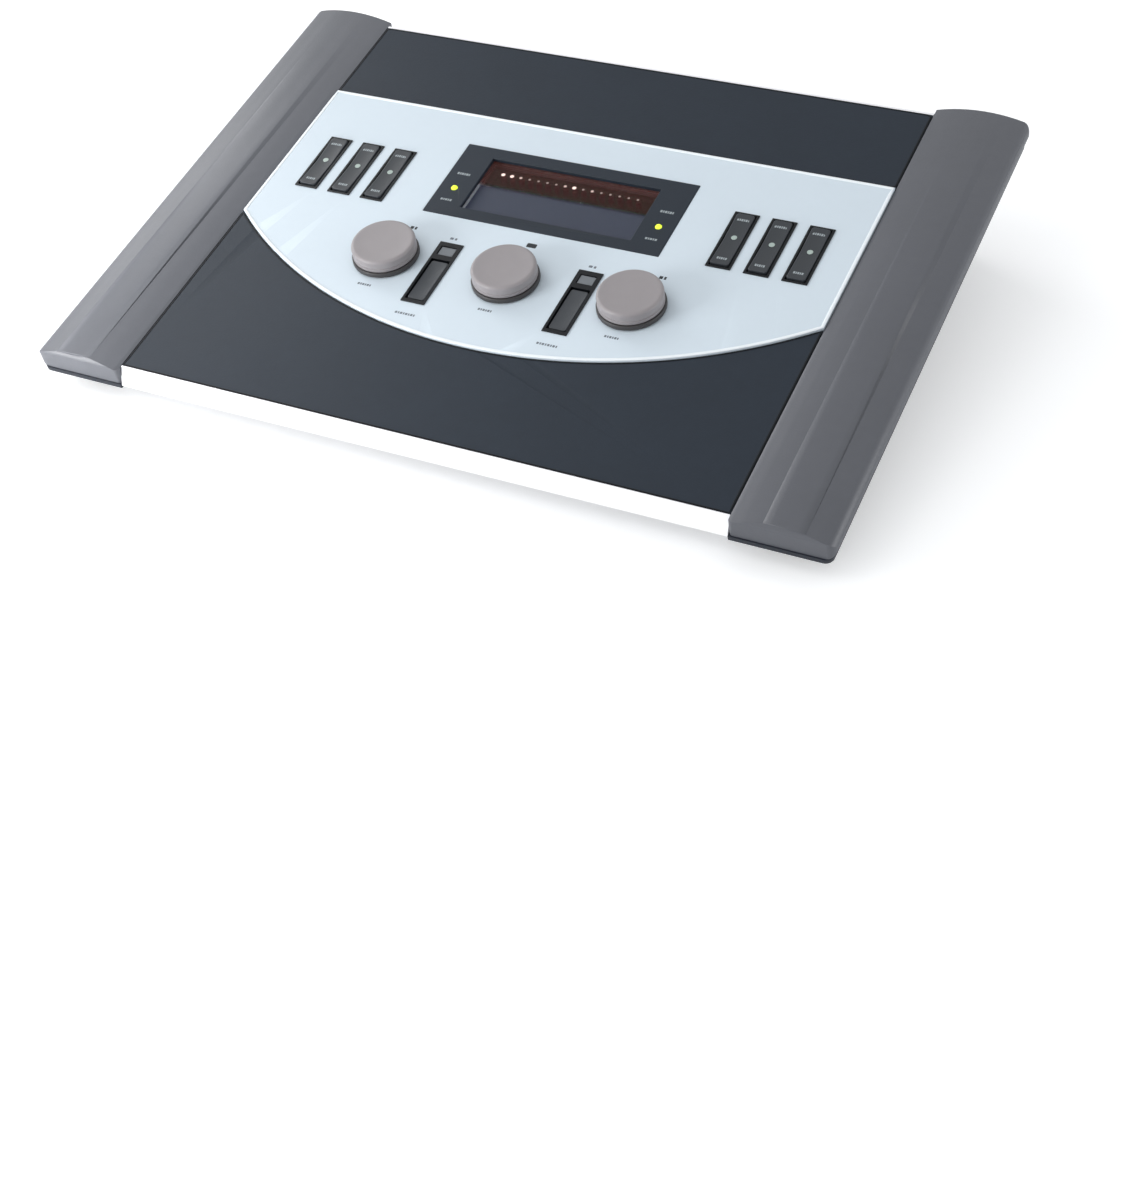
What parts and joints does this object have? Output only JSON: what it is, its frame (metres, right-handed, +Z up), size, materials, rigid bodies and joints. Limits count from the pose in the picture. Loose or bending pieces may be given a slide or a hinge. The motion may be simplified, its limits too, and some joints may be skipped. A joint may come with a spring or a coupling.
{
  "type": "audiometer",
  "caption": "Desk audiometer: sloping slab with rotary knobs, presentation bars, rockers and a lit display, on a wedge-shaped tray with rear sockets.",
  "frame": {"origin": "on the table, under the middle of the whole outline", "axes": "+Z up, +X to the operator's right, +Y to the back; the top slopes up towards +Y by 10 degrees"},
  "size_m": [0.365, 0.2532, 0.0654],
  "materials": {
    "deck_white": "satin moulded",
    "slate_panel": "fine textured",
    "pale_fascia": "fine textured",
    "cap_grey": "fine textured",
    "cap_base_dark": "satin",
    "bezel_dark": "satin",
    "window_clear": "polished",
    "filter_red": "polished",
    "lcd_slate": "polished",
    "pcb_green": "satin",
    "led_pale": "polished",
    "lamp_lime": "polished",
    "knob_taupe": "satin",
    "shaft_steel": "machined",
    "nut_steel": "plated",
    "encoder_metal": "die cast",
    "key_dark": "satin",
    "frame_black": "satin",
    "pipe_pale": "frosted",
    "bar_grey": "satin",
    "key_grey": "satin",
    "switch_black": "moulded",
    "tray_dark": "textured",
    "panel_metal": "satin",
    "foot_rubber": "matt",
    "chip_black": "matt",
    "ribbon_grey": "matt",
    "core_steel": "varnished",
    "can_blue": "sleeved",
    "sink_metal": "anodised",
    "blade_brass": "plain",
    "port_metal": "plated",
    "wire_brown": "matt",
    "screw_steel": "plated"
  },
  "bodies": {
    "case": {"base_tray": "tray_dark", "rubber_feet": "foot_rubber", "rear_panel": "panel_metal", "deck_frame": "deck_white", "front_panel": "slate_panel", "back_panel": "slate_panel", "control_fascia": "pale_fascia", "left_end_cap": "cap_grey", "right_end_cap": "cap_grey", "left_cap_base": "cap_base_dark", "right_cap_base": "cap_base_dark", "display_bezel": "bezel_dark", "display_window": "window_clear", "level_filter": "filter_red", "lcd_glass": "lcd_slate", "display_board": "pcb_green", "level_leds": "led_pale", "indicator_leds": "lamp_lime", "encoder_bodies": "encoder_metal", "encoder_nuts": "nut_steel", "rocker_bezels": "frame_black", "rocker_light_pipes": "pipe_pale", "slot_bezels": "frame_black", "control_board": "pcb_green", "push_switches": "switch_black", "board_leds": "led_pale", "main_board": "pcb_green", "main_board_chips": "chip_black", "board_connectors": "chip_black", "ribbon_cable": "ribbon_grey", "power_board": "pcb_green", "transformer": "core_steel", "power_capacitors": "can_blue", "heat_sink": "sink_metal", "jack_sockets": "frame_black", "jack_nuts": "nut_steel", "mains_inlet": "frame_black", "inlet_blades": "blade_brass", "power_switch_body": "frame_black", "data_port": "port_metal", "mains_wires": "wire_brown", "case_screws": "screw_steel", "board_screws": "screw_steel"},
    "left_knob_unit": {"left_knob": "knob_taupe", "left_encoder_shaft": "shaft_steel"},
    "center_knob_unit": {"center_knob": "knob_taupe", "center_encoder_shaft": "shaft_steel"},
    "right_knob_unit": {"right_knob": "knob_taupe", "right_encoder_shaft": "shaft_steel"},
    "left_outer_rocker_key": {"left_outer_rocker": "key_dark"},
    "left_middle_rocker_key": {"left_middle_rocker": "key_dark"},
    "left_inner_rocker_key": {"left_inner_rocker": "key_dark"},
    "right_inner_rocker_key": {"right_inner_rocker": "key_dark"},
    "right_middle_rocker_key": {"right_middle_rocker": "key_dark"},
    "right_outer_rocker_key": {"right_outer_rocker": "key_dark"},
    "left_bar_key": {"left_tone_bar": "bar_grey"},
    "left_small_key": {"left_mode_key": "key_grey"},
    "right_bar_key": {"right_tone_bar": "bar_grey"},
    "right_small_key": {"right_mode_key": "key_grey"},
    "power_rocker_key": {"power_rocker": "key_dark"}
  },
  "joints": [
    {"name": "left_knob_turn", "type": "hinge", "parent": "case", "child": "left_knob_unit", "pos_m": [-0.0588, -0.02978, 0.03482], "axis": [0, -0.1736, 0.9848], "continuous": true},
    {"name": "center_knob_turn", "type": "hinge", "parent": "case", "child": "center_knob_unit", "pos_m": [0, -0.02978, 0.03482], "axis": [0, -0.1736, 0.9848], "continuous": true},
    {"name": "right_knob_turn", "type": "hinge", "parent": "case", "child": "right_knob_unit", "pos_m": [0.0588, -0.02978, 0.03482], "axis": [0, -0.1736, 0.9848], "continuous": true},
    {"name": "left_outer_rocker_tip", "type": "hinge", "parent": "case", "child": "left_outer_rocker_key", "pos_m": [-0.1185, 0.01996, 0.04095], "axis": [1, 0, 0], "range_deg": [-4, 4], "stiffness_Nm_per_rad": 0.3},
    {"name": "left_middle_rocker_tip", "type": "hinge", "parent": "case", "child": "left_middle_rocker_key", "pos_m": [-0.1014, 0.01996, 0.04095], "axis": [1, 0, 0], "range_deg": [-4, 4], "stiffness_Nm_per_rad": 0.3},
    {"name": "left_inner_rocker_tip", "type": "hinge", "parent": "case", "child": "left_inner_rocker_key", "pos_m": [-0.0843, 0.01996, 0.04095], "axis": [1, 0, 0], "range_deg": [-4, 4], "stiffness_Nm_per_rad": 0.3},
    {"name": "right_inner_rocker_tip", "type": "hinge", "parent": "case", "child": "right_inner_rocker_key", "pos_m": [0.0843, 0.01996, 0.04095], "axis": [1, 0, 0], "range_deg": [-4, 4], "stiffness_Nm_per_rad": 0.3},
    {"name": "right_middle_rocker_tip", "type": "hinge", "parent": "case", "child": "right_middle_rocker_key", "pos_m": [0.1014, 0.01996, 0.04095], "axis": [1, 0, 0], "range_deg": [-4, 4], "stiffness_Nm_per_rad": 0.3},
    {"name": "right_outer_rocker_tip", "type": "hinge", "parent": "case", "child": "right_outer_rocker_key", "pos_m": [0.1185, 0.01996, 0.04095], "axis": [1, 0, 0], "range_deg": [-4, 4], "stiffness_Nm_per_rad": 0.3},
    {"name": "left_bar_press", "type": "hinge", "parent": "case", "child": "left_bar_key", "pos_m": [-0.0336, -0.02845, 0.03242], "axis": [1, 0, 0], "range_deg": [0, 4], "stiffness_Nm_per_rad": 0.3},
    {"name": "right_bar_press", "type": "hinge", "parent": "case", "child": "right_bar_key", "pos_m": [0.0336, -0.02845, 0.03242], "axis": [1, 0, 0], "range_deg": [0, 4], "stiffness_Nm_per_rad": 0.3},
    {"name": "left_small_key_press", "type": "slide", "parent": "case", "child": "left_small_key", "axis": [0, 0.1736, -0.9848], "range_m": [0, 0.001], "stiffness_N_per_m": 400},
    {"name": "right_small_key_press", "type": "slide", "parent": "case", "child": "right_small_key", "axis": [0, 0.1736, -0.9848], "range_m": [0, 0.001], "stiffness_N_per_m": 400},
    {"name": "power_rocker_tip", "type": "hinge", "parent": "case", "child": "power_rocker_key", "pos_m": [-0.0868, 0.11044, 0.02863], "axis": [1, 0, 0], "range_deg": [-16, 0]}
  ]
}
